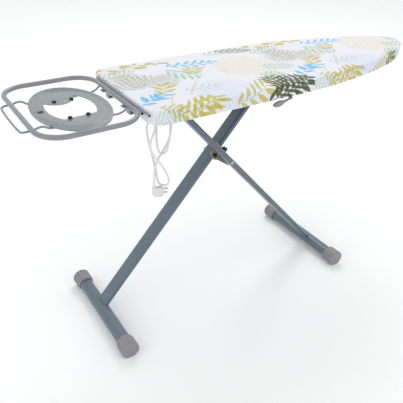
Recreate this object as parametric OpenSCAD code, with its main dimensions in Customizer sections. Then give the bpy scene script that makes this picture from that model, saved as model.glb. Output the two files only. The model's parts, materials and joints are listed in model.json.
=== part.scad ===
// Full-size folding ironing board with an iron rest, a mains socket and a hanging lead.
// Every x below is measured from the board's square end, and each sub-part is then
// moved to the row frame, whose origin is on the floor under the middle of the object.

/* [Board] */
// Length of the board from its square end to its nose
board_l = 1195; // [1150:5:1230]
// Width of the board across its straight sides
board_w = 418; // [400:2:430]
// Height of the covered top above the floor
board_top = 843; // [843:1:843]
// Distance from the square end to where the sides begin to taper
taper_start = 530; // [480:10:620]
// Radius of the two corners at the square end
corner_r = 45; // [30:5:60]
// Height of the covered edge
edge_h = 40; // [36:1:44]
// Thickness of the printed cotton cover
cover_t = 1.2; // [1:0.1:1.5]
// Thickness of the felt pad
pad_t = 6; // [4:1:7]

/* [Legs] */
// Angle of both legs above the floor when the board stands
leg_angle = 48; // [48:1:48]
// Distance from the crossing pivot to each leg's top pin
upper_arm = 325; // [325:1:325]
// Width of the flat-oval leg tube, across the board
tube_w = 56; // [50:1:56]
// Thickness of the flat-oval leg tube
tube_t = 20; // [18:1:20]
// Wall of the steel tubes
tube_wall = 1.4; // [1.2:0.2:2]
// Gap between the two legs where they cross
leg_gap = 4; // [4:1:5]
// Length of each foot crossbar over its end caps
foot_l = 440; // [420:5:450]
// Radius of the foot caps
cap_r = 31; // [31:1:31]

/* [Iron rest] */
// Length of the rest's tube loop along the board, on its centreline
rest_l = 278; // [260:1:280]
// Width of the rest's tube loop, on its centreline
rest_w = 400; // [380:5:410]
// Diameter of the loop's tube
rest_tube_d = 14; // [12:1:14]
// Half length of the oval iron plate along the board
plate_half_l = 107; // [100:1:108]
// Half width of the oval iron plate across the board
plate_half_w = 165; // [150:1:168]

/* [Lead] */
// Diameter of the mains lead
lead_d = 6.5; // [6:0.1:7]

/* [Hidden] */

$fn = 64;
eps = 0.01;
// Reach of the iron rest's wire past the square end
rest_reach = 318.4;
// Place of the board's square end in the row frame
end_x = -(board_l - rest_reach) / 2;

// Heights in the board, from the top down
pad_top = board_top - cover_t;
deck_top = pad_top - pad_t;
deck_t = 0.9;
frame_top = deck_top - deck_t;
frame_t = 1.6;
edge_bottom = board_top - edge_h;
frame_bottom = edge_bottom + cover_t + 1.8;
hem_w = 14;
// Inset of the deck, rim and pad from the covered edge
core_inset = 3.8;

// Scissor geometry: the pins' height, the crossing pivot and the two feet
pin_z = 783;
hinge_x = 128.5;
pivot_x = hinge_x + upper_arm * cos(leg_angle);
pivot_z = pin_z - upper_arm * sin(leg_angle);
slide_x = pivot_x + upper_arm * cos(leg_angle);
// The rear leg's tube runs this far above the line through its two pivots
rear_offset = 19;
foot_axis_z = 30;
front_arm = (pivot_z - foot_axis_z) / sin(leg_angle);
rear_arm = (pivot_z - foot_axis_z + rear_offset * cos(leg_angle)) / sin(leg_angle);
leg_y = leg_gap / 2 + tube_w / 2;
slot_start = 518;
slot_end = 788;

// Rails under the deck
rail_y = 66;
rail_t = 2.5;
rail_from = 92;
rail_to = 840;
rail_bottom = 765;
rail_flange = 16;
axle_r = 6;
roller_r = 9;
slot_r = 9.15;
hinge_pin_r = 5;

// Lever and its shaft
lever_x = 482;
lever_z = 797;
lever_shaft_r = 3;

// Iron rest
loop_x = -293;
loop_z = 829;
loop_corner = 72;
rest_r = rest_tube_d / 2;
plate_x = -150;
plate_z = 820.2;
plate_t = 2;
stud_x = [-178, -127];
wire_r = 3;

lead_r = lead_d / 2;

// Route of the lead, in mm from the board's square end: down from the gland, round
// the long loop, back up under the corner, down round the short loop, up again
// under the deck and down to the plug.
lead_route = [
    [26, -168, 786], [21, -171, 774], [12, -175, 761], [4, -178, 743], [6, -180, 720],
    [17, -181, 699], [31, -181, 678], [45, -180, 653], [55, -180, 631], [60, -179, 610],
    [57, -175, 597], [49, -165, 592], [40, -155, 597], [37, -151, 610], [35, -150, 630],
    [23, -149, 690], [10, -150, 756], [10, -148, 780], [15, -147, 791], [26, -146, 796],
    [36, -145, 791], [41, -144, 777], [36, -154, 744], [35, -160, 722], [37, -165, 707],
    [46, -169, 699], [56, -173, 705], [61, -175, 722], [68, -175, 752], [71, -172, 776],
    [74, -167, 788], [81, -158, 793], [88, -149, 788], [91, -144, 776], [82, -145, 729],
    [63, -150, 702], [42, -156, 683], [27, -161, 659], [20, -165, 630], [18, -166, 598]
];

// Route of the rest's single bent wire, in mm from the board's square end
wire_route = [
    [-24, 98, 824], [-40, 96, 815], [-62, 94, 812], [-105, 92, 811], [-190, 92, 811],
    [-232, 93, 811], [-244, 95, 814], [-255, 97, 821], [-268, 98, 822], [-284, 98, 818],
    [-302, 98, 817], [-312, 94, 816], [-315, 84, 815], [-315, -84, 815], [-312, -94, 816],
    [-302, -98, 817], [-284, -98, 818], [-268, -98, 822], [-255, -97, 821],
    [-244, -95, 814], [-232, -93, 811], [-190, -92, 811], [-105, -92, 811],
    [-62, -94, 812], [-40, -96, 815], [-24, -98, 824]
];

// ---- Functions ----

// Half width of the board at x: straight, then a broad nose
function half_width(x) =
    x <= taper_start ? board_w / 2
    : board_w / 2 * pow(max(0, 1 - pow((x - taper_start) / (board_l - taper_start), 1.7)), 1 / 1.86);

// Outline of one side of the board, from the square end to the nose
function side_points() = concat(
    [for (a = [0:15:90]) [corner_r * (1 - cos(a)), board_w / 2 - corner_r * (1 - sin(a))]],
    [for (i = [0:24]) let (x = taper_start + (board_l - taper_start) * sin(i * 90 / 24))
        [x, half_width(x)]]
);

function reversed(list) = [for (i = [len(list) - 1:-1:0]) list[i]];

// Oval of half sizes a and b
function oval(a, b, n = 72) = [for (i = [0:n - 1]) [a * cos(i * 360 / n), b * sin(i * 360 / n)]];

// A point between route points k and k + 1, on one smooth curve through them all
function spline(p, k, t) =
    let (a = p[max(k - 1, 0)], b = p[k], c = p[k + 1], d = p[min(k + 2, len(p) - 1)])
    0.5 * (2 * b + (c - a) * t + (2 * a - 5 * b + 4 * c - d) * t * t
        + (3 * b - a - 3 * c + d) * t * t * t);
function smooth(p, n) = concat(
    [for (k = [0:len(p) - 2]) for (j = [0:n - 1]) spline(p, k, j / n)], [p[len(p) - 1]]);

function unit(v) = v / norm(v);
function tangent(p, i) = unit(p[min(i + 1, len(p) - 1)] - p[max(i - 1, 0)]);
// Side direction of each ring, carried along the route so that the tube never twists
function carried(p, i = 0, s = [0, 1, 0.01]) =
    let (t = tangent(p, i), n = unit(s - (s * t) * t))
    i == len(p) - 1 ? [n] : concat([n], carried(p, i + 1, n));

// ---- Shared shapes ----

module at_board() translate([end_x, 0, 0]) children();

// Solid tube of radius r and a number of sides along the points p
module swept_tube(p, r, sides) {
    rings = len(p);
    n = carried(p);
    points = [for (i = [0:rings - 1]) let (b = cross(tangent(p, i), n[i]))
        for (k = [0:sides - 1]) p[i] + r * (cos(k * 360 / sides) * n[i] + sin(k * 360 / sides) * b)];
    faces = concat(
        [[for (k = [0:sides - 1]) k]],
        [for (i = [0:rings - 2]) for (k = [0:sides - 1]) let (m = (k + 1) % sides)
            [i * sides + k, (i + 1) * sides + k, (i + 1) * sides + m, i * sides + m]],
        [[for (k = [sides - 1:-1:0]) (rings - 1) * sides + k]]
    );
    polyhedron(points, faces, convexity = 10);
}

// Outline of the board, drawn in by an inset
module board_outline(inset = 0) {
    side = side_points();
    mirrored = [for (p = reversed(side)) if (abs(p[1]) > eps) [p[0], -p[1]]];
    offset(delta = -inset) polygon(concat(side, mirrored));
}

// Cylinder of radius r along y, from y0 to y1, at x and z
module across(x, z, r, y0, y1) translate([x, y0, z]) rotate([-90, 0, 0]) cylinder(r = r, h = y1 - y0);

// Upright cylinder
module post(x, y, z, r, h) translate([x, y, z]) cylinder(r = r, h = h);

// Box given by its lower corner and its size
module block(corner, size) translate(corner) cube(size);

// Flat-oval section of width w and thickness t, along x and y
module oval_section(w, t) {
    square([w - t, t], center = true);
    for (side = [-1, 1]) translate([side * (w - t) / 2, 0]) circle(d = t);
}

// Places children on a leg: along the leg from the crossing pivot towards the foot
// is +x, across the board stays y and the leg's upper face is +z
module on_rear_leg() translate([pivot_x, 0, pivot_z]) rotate([0, leg_angle, 0]) children();
module on_front_leg() translate([pivot_x, 0, pivot_z]) mirror([1, 0, 0]) rotate([0, leg_angle, 0]) children();

// Hollow flat-oval tube along a leg, from s0 to s1, its middle at y and height z
module leg_tube(s0, s1, y, z) translate([s0, y, z]) rotate([0, 90, 0]) rotate([0, 0, 90])
    linear_extrude(s1 - s0) difference() {
        oval_section(tube_w, tube_t);
        oval_section(tube_w - 2 * tube_wall, tube_t - 2 * tube_wall);
    }

// Foot crossbar of oval tube, at the far end of a leg
foot_bar_w = 48;
foot_bar_h = 38;
cap_l = 52;
cap_lip = 4;
module foot_bar(x) translate([x, 0, foot_axis_z]) rotate([90, 0, 0])
    linear_extrude(foot_l - 2 * cap_lip, center = true) difference() {
        oval_section(foot_bar_w, foot_bar_h);
        oval_section(foot_bar_w - 2 * tube_wall, foot_bar_h - 2 * tube_wall);
    }

// Pair of foot caps: ribbed sleeves with a flat ground away where they meet the floor
module foot_caps(x) for (side = [-1, 1]) translate([x, side * foot_l / 2, foot_axis_z])
    rotate([90 * side, 0, 0]) difference() {
        union() {
            cylinder(r = cap_r, h = cap_l - 8);
            translate([0, 0, cap_l - 8]) cylinder(r1 = cap_r, r2 = 27, h = 8);
        }
        translate([0, 0, cap_lip]) linear_extrude(cap_l) oval_section(foot_bar_w + 0.2, foot_bar_h + 0.2);
        translate([0, -side * (foot_axis_z + cap_r / 2), cap_l / 2])
            cube([2 * cap_r, cap_r, cap_l + 2], center = true);
        for (a = [-30:30:210]) rotate([0, 0, a]) translate([cap_r + 3, 0, cap_lip]) cylinder(r = 6, h = cap_l);
    }

// ---- Board ----

module deck_sheet() at_board() color("#8C9094") difference() {
    translate([0, 0, frame_top]) linear_extrude(deck_t) board_outline(core_inset);
    for (x = [110:50:1060]) for (y = [-144:36:144])
        if (abs(y) < half_width(x + 30) - 40) post(x, y, frame_top - 1, 12, deck_t + 2);
}

module deck_frame() at_board() color("#8C9094") {
    translate([0, 0, frame_bottom]) linear_extrude(frame_top - frame_bottom - eps) difference() {
        board_outline(core_inset);
        board_outline(core_inset + frame_t);
    }
}

module felt_pad() at_board() color("#E6E2D6")
    translate([0, 0, deck_top]) linear_extrude(pad_t) board_outline(core_inset);

module printed_cover() at_board() color("#EEEEF5") {
    crown = 6;
    difference() {
        union() {
            translate([0, 0, edge_bottom]) linear_extrude(edge_h - crown) board_outline(0);
            for (k = [0:2]) translate([0, 0, board_top - crown + 2 * k])
                linear_extrude(2) board_outline([0.5, 1.3, 2.8][k]);
        }
        translate([0, 0, edge_bottom - 1]) linear_extrude(2 * cover_t + 1) board_outline(hem_w);
        translate([0, 0, edge_bottom + cover_t]) linear_extrude(pad_top - edge_bottom - cover_t)
            board_outline(core_inset - 0.2);
    }
}

module drawcord() at_board() color("#F0EFEA")
    translate([0, 0, edge_bottom + cover_t + 0.1]) linear_extrude(2.4) difference() {
        board_outline(hem_w - 5);
        board_outline(hem_w - 2.6);
    }

module cord_toggle() at_board() color("#E8E8EC") {
    block([board_l - hem_w - 20, -9, edge_bottom - 9.4], [22, 18, 9]);
    across(board_l - hem_w - 9, edge_bottom - 5, 3.5, -14, -8.9);
}

// Slotted angle rail on one side of the legs; side is -1 near and 1 far
module rail(side) difference() {
    union() {
        block([rail_from, side * rail_y - rail_t / 2, rail_bottom],
            [rail_to - rail_from, rail_t, frame_top - 1.5 - rail_bottom]);
        block([rail_from, side > 0 ? rail_y : -rail_y - rail_flange, frame_top - 1.5 - rail_t],
            [rail_to - rail_from, rail_flange, rail_t]);
    }
    across(hinge_x, pin_z, hinge_pin_r + 0.05, side * rail_y - 10, side * rail_y + 10);
    across(lever_x, lever_z, lever_shaft_r + 0.05, side * rail_y - 10, side * rail_y + 10);
    across(slot_start, pin_z, slot_r, side * rail_y - 10, side * rail_y + 10);
    across(slot_end, pin_z, slot_r, side * rail_y - 10, side * rail_y + 10);
    block([slot_start, side * rail_y - 10, pin_z - slot_r], [slot_end - slot_start, 20, 2 * slot_r]);
}
module near_rail() at_board() color("#9A9C9E") rail(-1);
module far_rail() at_board() color("#9A9C9E") rail(1);

member_x = [62, 330, 640, 880];
member_w = 28;
module cross_members() at_board() color("#9A9C9E") for (x = member_x) {
    reach = half_width(x + member_w) - 6;
    near_reach = x == member_x[0] ? -socket_y - socket_w - 6 : reach;
    for (span = [[-near_reach, -rail_y - rail_flange - 0.4], [rail_y + rail_flange + 0.4, reach]])
        block([x, span[0], frame_top - 9], [member_w, span[1] - span[0], 2]);
    block([x, -rail_y - rail_flange - 0.4, frame_top - 1.5],
        [member_w, 2 * (rail_y + rail_flange + 0.4), 1.4]);
    for (side = [-1, 1]) block([x, side * (rail_y + rail_flange + 1.4) - 1, frame_top - 9], [member_w, 2, 8.9]);
}

module rail_rivets() at_board() color("#B8BABC")
    for (x = [120, 344, 500, 654, 820]) for (side = [-1, 1])
        post(x, side * (rail_y + 10), frame_top - 1.5 - rail_t - 2, 3.5, 2);

// Toothed plate whose notches catch the slide axle at each working height
module height_rack() at_board() color("#A2A4A0") difference() {
    block([slot_start - 4, -rail_y + rail_t / 2 + 0.1, pin_z + 11], [slot_end - slot_start - 16, 2.2, 22]);
    for (i = [0:7]) translate([slot_start + 14 + i * 33, 0, pin_z + 9])
        rotate([90, 0, 0]) cylinder(r = 7.5, h = 2 * rail_y, center = true);
}

// ---- Square end and iron rest ----

module end_bar() at_board() color("#8E9095") difference() {
    across(-4.2, 834, 3.6, -195, 152);
    across(-4.2, 834, 2.4, -196, -150);
}

module end_bar_bolts() at_board() color("#2E2E30") for (y = [-152, 128])
    translate([-7.4, y, 825]) rotate([0, 90, 0]) {
        cylinder(r = 4, h = 4, $fn = 6);
        translate([0, 0, 3.9]) cylinder(r = 2, h = 3.4);
    }

rest_bracket_y = 71;
bracket_bolt_x = [69, 83];
module rest_brackets() at_board() color("#8E9095") for (side = [-1, 1])
    translate([0, side * rest_bracket_y - 11, 0]) difference() {
        union() {
            block([-26, 0, loop_z - rest_r - 3.2], [20, 22, 3]);
            block([-9, 0, edge_bottom - 7], [3, 22, loop_z - rest_r - 3.2 - edge_bottom + 9.5]);
            block([-9, 0, edge_bottom - 7], [99, 22, 3]);
        }
        for (x = bracket_bolt_x) post(x, 11, edge_bottom - 10, 3.05, 12);
    }

module rest_bracket_bolts() at_board() color("#77797C") for (side = [-1, 1]) for (x = bracket_bolt_x)
    translate([x, side * rest_bracket_y, edge_bottom - 10]) {
        cylinder(r = 5.5, h = 3, $fn = 6);
        translate([0, 0, 2.9]) cylinder(r = 3, h = frame_top - 1.6 - edge_bottom + 7);
    }

// Tubes that space the brackets down from the cross member
module bracket_spacers() at_board() color("#A8AAAC") for (side = [-1, 1]) for (x = bracket_bolt_x)
    difference() {
        post(x, side * rest_bracket_y, edge_bottom - 4, 5, frame_top - 1.6 - edge_bottom + 4);
        post(x, side * rest_bracket_y, edge_bottom - 5, 3.05, 60);
    }

// Rounded rectangle of tube that carries the iron rest
module rest_loop() at_board() color("#9698A0") translate([loop_x, 0, loop_z]) {
    half = rest_w / 2;
    for (side = [-1, 1]) {
        translate([loop_corner, side * half, 0]) rotate([0, 90, 0]) cylinder(r = rest_r, h = rest_l - 2 * loop_corner);
        for (end = [0, 1]) translate([end * rest_l, 0, 0]) if (side == 1)
            translate([0, -half + loop_corner, 0]) rotate([-90, 0, 0]) cylinder(r = rest_r, h = 2 * (half - loop_corner));
    }
    for (corner = [[0, 1, 90], [0, -1, 180], [1, -1, 270], [1, 1, 0]])
        translate([corner[0] == 0 ? loop_corner : rest_l - loop_corner, corner[1] * (half - loop_corner), 0])
            rotate([0, 0, corner[2]]) rotate_extrude(angle = 90) translate([loop_corner, 0]) circle(r = rest_r);
}

module rest_wire() at_board() color("#868890") swept_tube(smooth(wire_route, 2), wire_r, 8);

// Opening in the middle of the oval plate: an oval less the far lobe and the near strip
module plate_opening() difference() {
    polygon(oval(67, 101));
    translate([-13, 90]) polygon(oval(52, 62));
    translate([-100, -190]) rotate([0, 0, 4]) square([220, 110]);
}
module rest_plate() at_board() color("#A0A1A5") translate([plate_x, 0, plate_z - plate_t]) difference() {
    union() {
        linear_extrude(plate_t) difference() {
            polygon(oval(plate_half_l, plate_half_w));
            plate_opening();
        }
        translate([0, 0, -3.6]) linear_extrude(3.7) difference() {
            polygon(oval(plate_half_l, plate_half_w));
            polygon(oval(plate_half_l - 1.6, plate_half_w - 1.6));
        }
    }
    translate([-92, -5, -1]) cube([16, 12, plate_t + 2]);
    for (x = stud_x) for (y = [51, -75]) post(x - plate_x, y, -1, 4.05, plate_t + 2);
}

module rest_studs() at_board() color("#1E1E20") for (x = stud_x) for (y = [51, -75]) {
    post(x, y, plate_z, 6, 4);
    post(x, y, plate_z - plate_t, 4, plate_t + eps);
    post(x, y, plate_z - plate_t - 2, 5.4, 2);
}

// ---- Socket and lead ----

socket_x = 16;
socket_y = -184;
socket_l = 84;
socket_w = 56;
socket_z = 808;
socket_h = 24;
module socket_box() at_board() color("#DADADD") difference() {
    union() {
        block([socket_x, socket_y, socket_z], [socket_l, socket_w, socket_h]);
        block([socket_x + socket_l - eps, socket_y + 8, socket_z + 2], [3, socket_w - 16, socket_h - 4]);
    }
    for (z = [5.65, 18.35]) block([socket_x + socket_l - 18, socket_y + socket_w / 2 - 3.5, socket_z + z - 1],
        [22, 7, 2]);
    for (y = [4.5, socket_w - 4.5]) translate([socket_x + socket_l - 12, socket_y + y, socket_z + socket_h / 2])
        rotate([0, 90, 0]) cylinder(r = 1.6, h = 13);
}

module socket_contacts() at_board() color("#C8B060") for (z = [5.65, 18.35])
    block([socket_x + socket_l - 17, socket_y + socket_w / 2 - 3.1, socket_z + z - 0.5], [8, 6.2, 0.9]);

module socket_screws() at_board() color("#B8BABC") for (y = [4.5, socket_w - 4.5])
    translate([socket_x + socket_l, socket_y + y, socket_z + socket_h / 2]) rotate([0, 90, 0]) {
        translate([0, 0, -11]) cylinder(r = 1.6, h = 11);
        difference() {
            cylinder(r = 3, h = 1.8);
            translate([-4, -0.5, 1]) cube([8, 1, 2]);
        }
    }

module lead_gland() at_board() color("#E2E2E6") translate([26, -168, 786])
    cylinder(r1 = lead_r + 1, r2 = 7, h = socket_z - 786);

module mains_lead() at_board() color("#E8E8EC") swept_tube(smooth(lead_route, 2), lead_r, 8);

plug_x = 27;
plug_y = -166;
plug_zc = 577;
plug_tilt = 12;
module on_plug() at_board() translate([plug_x, plug_y, plug_zc]) rotate([0, plug_tilt, 0]) children();
module plug_body() color("#E8E8EC") on_plug() {
    hull() {
        for (x = [-12, 13]) for (z = [-10, 14]) translate([x, -10, z]) rotate([-90, 0, 0]) cylinder(r = 5, h = 20, $fn = 24);
        translate([-5, -10, -13]) rotate([-90, 0, 0]) cylinder(r = 5, h = 20, $fn = 24);
    }
    translate([-12.5, 0, 18]) cylinder(r = 5, h = 3.5);
}

module plug_pins() color("#B4A878") on_plug() for (z = [-3.8, 8.9])
    translate([18, -3.1, z - 0.75]) cube([17.5, 6.2, 1.5]);

// ---- Rear leg: foot under the nose, hinged near the square end ----

module hinge_pin() at_board() color("#A8AAAC") across(hinge_x, pin_z, hinge_pin_r, -rail_y - 5, rail_y + 5);

module hinge_pin_clips() at_board() color("#55575A") for (y = [-rail_y - 4, rail_y + 2.6])
    difference() {
        across(hinge_x, pin_z, hinge_pin_r + 3.5, y, y + 1.4);
        across(hinge_x, pin_z, hinge_pin_r, y - 1, y + 3);
    }

module rear_leg_tube() at_board() color("#687885") on_rear_leg() difference() {
    leg_tube(-upper_arm - 6, rear_arm - foot_bar_h / 2 + 1, -leg_y, rear_offset);
    translate([34, -tube_w - leg_gap, rear_offset - 2]) rotate([-90, 0, 0]) cylinder(r = 4.05, h = tube_w + leg_gap);
}

rear_foot_x = pivot_x + rear_arm * cos(leg_angle) + rear_offset * sin(leg_angle);
module rear_foot_bar() at_board() color("#687885") foot_bar(rear_foot_x);
module rear_foot_caps() at_board() color("#87878C") foot_caps(rear_foot_x);

// Bracket under the tube's top end, with two ears for the hinge pin
module hinge_bracket() at_board() color("#7E7D70") on_rear_leg() difference() {
    union() {
        block([-upper_arm - 12, -leg_y - 26, rear_offset - tube_t / 2 - 2.2], [52, 52, 2]);
        for (y = [-leg_y - 26, -leg_y + 23.5]) {
            block([-upper_arm - 12, y, -4], [40, 2.5, rear_offset - tube_t / 2 + 2]);
            translate([-upper_arm, y, 0]) rotate([-90, 0, 0]) cylinder(r = 9.5, h = 2.5);
        }
    }
    translate([-upper_arm, -leg_y - 40, 0]) rotate([-90, 0, 0]) cylinder(r = 7.05, h = 80);
}

module hinge_sleeve() at_board() color("#D8D8D4") difference() {
    across(hinge_x, pin_z, 7, -leg_y - 32, -leg_y + 32);
    across(hinge_x, pin_z, hinge_pin_r + 0.06, -leg_y - 33, -leg_y + 33);
}

// Plate between the legs: riveted to the rear leg, its ear takes the pivot bolt
module crossing_plate() at_board() color("#7E7D70") on_rear_leg() translate([0, 1.3, 0]) rotate([90, 0, 0])
    linear_extrude(2.6) difference() {
        union() {
            polygon([[-30, 4], [-18, -12], [10, -13], [22, -6], [80, 7], [96, 20], [34, 28], [14, 38.5], [-34, 38.5]]);
            circle(r = 15);
        }
        circle(r = 4.05);
        translate([34, rear_offset - 2]) circle(r = 4.05);
    }

module crossing_rivet() at_board() color("#C8CACC") on_rear_leg() translate([34, 0, rear_offset - 2]) {
    translate([0, -2 * leg_y + leg_gap / 2 - 0.1, 0]) rotate([-90, 0, 0]) cylinder(r = 4, h = 2 * leg_y - leg_gap / 2 + 1.4);
    translate([0, -2 * leg_y + leg_gap / 2 - 1.9, 0]) rotate([-90, 0, 0]) cylinder(r1 = 5, r2 = 7, h = 1.8);
}

// Bolt through the ear and the front leg, fixed in the ear
bolt_r = 4;
module crossing_bolt() at_board() color("#6E7074") {
    across(pivot_x, pivot_z, bolt_r, -1.3, 2 * leg_y + 4);
    across(pivot_x, pivot_z, 7, -5.6, -1.3);
}

module crossing_nut() at_board() color("#8A8C8E") difference() {
    translate([pivot_x, 2 * leg_y - leg_gap / 2 + 0.6, pivot_z]) rotate([-90, 0, 0]) cylinder(r = 7.5, h = 5, $fn = 6);
    across(pivot_x, pivot_z, bolt_r, 0, 3 * leg_y);
}

// Black plastic stop pushed over the corner of the crossing plate
module leg_bumper() at_board() color("#1E1E20") on_rear_leg() difference() {
    translate([13, -11, 39]) rotate([-90, 0, 0]) cylinder(r = 8, h = 12.6);
    block([-20, -1.3, 20], [60, 2.6, 20]);
}

// ---- Front leg: foot under the iron rest, sliding under the middle ----

module front_leg_tube() at_board() color("#687885") on_front_leg() difference() {
    leg_tube(-upper_arm - 13, front_arm - foot_bar_h / 2 + 1, leg_y, 0);
    rotate([-90, 0, 0]) cylinder(r = 6.55, h = 2 * tube_w);
    translate([-upper_arm, 0, 0]) rotate([-90, 0, 0]) cylinder(r = axle_r + 0.02, h = 2 * tube_w);
}

front_foot_x = pivot_x - front_arm * cos(leg_angle);
module front_foot_bar() at_board() color("#687885") foot_bar(front_foot_x);
module front_foot_caps() at_board() color("#87878C") foot_caps(front_foot_x);

module pivot_bush() at_board() color("#E4E2DA") difference() {
    across(pivot_x, pivot_z, 6.5, leg_gap / 2 - 0.5, 2 * leg_y - leg_gap / 2 + 0.4);
    across(pivot_x, pivot_z, bolt_r + 0.06, 0, 2 * tube_w);
}

module slide_axle() at_board() color("#B0B2B4") across(slide_x, pin_z, axle_r, -rail_y - 6, rail_y + 6);

module slide_rollers() at_board() color("#E4E2DA") for (side = [-1, 1]) difference() {
    union() {
        across(slide_x, pin_z, roller_r, side * rail_y - 2.6, side * rail_y + 2.6);
        across(slide_x, pin_z, 11.5, side * rail_y + side * 2.2 - 0.6, side * rail_y + side * 2.2 + 0.6);
    }
    across(slide_x, pin_z, axle_r, -2 * rail_y, 2 * rail_y);
}

module axle_sleeve() at_board() color("#D8D8D4") difference() {
    across(slide_x, pin_z, 8, -rail_y + 8, leg_gap / 2 - 0.3);
    across(slide_x, pin_z, axle_r, -2 * rail_y, rail_y);
}

module axle_clips() at_board() color("#55575A") for (side = [-1, 1]) difference() {
    across(slide_x, pin_z, 9, side * (rail_y + 4.4) - 0.6, side * (rail_y + 4.4) + 0.6);
    across(slide_x, pin_z, axle_r, -2 * rail_y, 2 * rail_y);
}

// ---- Height lever ----

module lever_shaft() at_board() color("#A8AAAC")
    across(lever_x, lever_z, lever_shaft_r, -207, rail_y + 5);

// Flat oval grip beside the board's near edge
module lever_grip() at_board() color("#8C8E94") difference() {
    union() {
        hull() {
            across(421, 784, 7.5, -208.5, -199.5);
            across(447, 787.5, 8.5, -208.5, -199.5);
        }
        hull() {
            across(447, 787.5, 7.5, -208, -200);
            across(lever_x, lever_z - 1.2, 4.4, -208, -200);
        }
    }
    across(lever_x, lever_z, lever_shaft_r, -215, -185);
}

// Arm that presses the slide axle up into the rack, and drops when the grip is squeezed
pawl_y = -rail_y + 2.9;
pawl_t = 2.3;
module locking_pawl() at_board() color("#8A8C88") difference() {
    union() {
        across(lever_x, lever_z, 5.2, pawl_y, pawl_y + pawl_t);
        translate([0, pawl_y + pawl_t, 0]) rotate([90, 0, 0]) linear_extrude(pawl_t)
            polygon([[lever_x - 5, lever_z - 2], [lever_x + 5, lever_z + 2], [lever_x + 8, pin_z - 9],
                [slide_x - 16, pin_z - 9], [slide_x - 10, pin_z - axle_r - 0.5],
                [slide_x + 14, pin_z - axle_r - 0.5], [slide_x + 16, pin_z - 17], [lever_x - 2, pin_z - 19]]);
    }
    across(lever_x, lever_z, lever_shaft_r, -2 * rail_y, 0);
}

// Return spring: a wire coil round the shaft, with both ends held
spring_r = 5.4;
spring_turns = 7;
spring_pitch = 2;
module lever_spring() at_board() color("#C0C2C4") translate([lever_x, -100, lever_z]) swept_tube(
    [for (i = [0:spring_turns * 10])
        [spring_r * cos(i * 36), i * spring_pitch / 10, spring_r * sin(i * 36)]], 0.6, 6);

module shaft_clips() at_board() color("#55575A") for (y = [-rail_y - 4.4, rail_y + 2.4]) difference() {
    across(lever_x, lever_z, lever_shaft_r + 2.6, y, y + 1.2);
    across(lever_x, lever_z, lever_shaft_r, y - 1, y + 3);
}

deck_sheet();
deck_frame();
felt_pad();
printed_cover();
drawcord();
cord_toggle();
near_rail();
far_rail();
cross_members();
rail_rivets();
height_rack();
end_bar();
end_bar_bolts();
rest_brackets();
rest_bracket_bolts();
bracket_spacers();
rest_loop();
rest_wire();
rest_plate();
rest_studs();
socket_box();
socket_contacts();
socket_screws();
lead_gland();
mains_lead();
plug_body();
plug_pins();
hinge_pin();
hinge_pin_clips();
rear_leg_tube();
rear_foot_bar();
rear_foot_caps();
hinge_bracket();
hinge_sleeve();
crossing_plate();
crossing_rivet();
crossing_bolt();
crossing_nut();
leg_bumper();
front_leg_tube();
front_foot_bar();
front_foot_caps();
pivot_bush();
slide_axle();
slide_rollers();
axle_sleeve();
axle_clips();
lever_shaft();
lever_grip();
locking_pawl();
lever_spring();
shaft_clips();
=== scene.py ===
"""Looks of a folding ironing board with an iron rest, a height lever and a hanging mains lead.

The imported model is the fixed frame. Each operator below makes one piece, or one group of like
pieces, round it. Everything is in metres, in the frame's own axes.
"""
import json
import math

import bmesh
import bpy
import numpy as np
from bpy.props import FloatProperty, FloatVectorProperty, PointerProperty
from mathutils import Matrix, Vector
from mathutils.geometry import interpolate_bezier
from mathutils.noise import noise

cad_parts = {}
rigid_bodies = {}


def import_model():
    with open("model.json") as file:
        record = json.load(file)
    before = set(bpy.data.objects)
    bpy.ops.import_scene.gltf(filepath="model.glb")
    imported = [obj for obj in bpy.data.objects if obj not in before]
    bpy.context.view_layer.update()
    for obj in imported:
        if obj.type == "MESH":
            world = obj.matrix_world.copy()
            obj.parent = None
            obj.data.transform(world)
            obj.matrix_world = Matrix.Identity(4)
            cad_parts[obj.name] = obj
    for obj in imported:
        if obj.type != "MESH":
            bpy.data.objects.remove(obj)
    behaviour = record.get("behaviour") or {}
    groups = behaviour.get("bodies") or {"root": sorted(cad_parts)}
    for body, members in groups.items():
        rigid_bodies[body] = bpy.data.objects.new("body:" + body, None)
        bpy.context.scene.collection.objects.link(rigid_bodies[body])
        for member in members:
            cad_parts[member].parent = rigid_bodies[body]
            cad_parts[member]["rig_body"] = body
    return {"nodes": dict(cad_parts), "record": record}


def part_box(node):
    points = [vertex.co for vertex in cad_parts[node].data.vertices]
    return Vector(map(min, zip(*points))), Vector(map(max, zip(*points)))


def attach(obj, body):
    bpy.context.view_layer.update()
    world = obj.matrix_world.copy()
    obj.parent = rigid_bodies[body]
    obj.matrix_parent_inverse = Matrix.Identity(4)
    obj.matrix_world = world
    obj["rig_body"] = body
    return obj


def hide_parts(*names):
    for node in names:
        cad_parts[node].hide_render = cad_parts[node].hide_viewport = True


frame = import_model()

bl_info = {
    "name": "Ironing Board",
    "version": (1, 0, 0),
    "blender": (4, 5, 0),
    "location": "View3D > Sidebar > Ironing Board",
    "description": "Builds the looks of a folding ironing board round its packed frame",
    "category": "Object",
}

NODES = frame["nodes"]
SLOT_OF = {part["node"]: part["material_slot"] for part in frame["record"]["subparts"]}
MM = 0.001

# The board, as the frame has it: the cover's box gives its ends, sides, top and edge
COVER_LOW, COVER_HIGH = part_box("printed_cover")
END_X = COVER_LOW.x
BOARD_L = COVER_HIGH.x - COVER_LOW.x
HALF_W = COVER_HIGH.y
TOP_Z = COVER_HIGH.z
EDGE_Z = COVER_LOW.z
# The square end's corner radius, and where the sides begin to taper, as in the part's source
CORNER_R = 45 * MM
TAPER_START = 530 * MM


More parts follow.
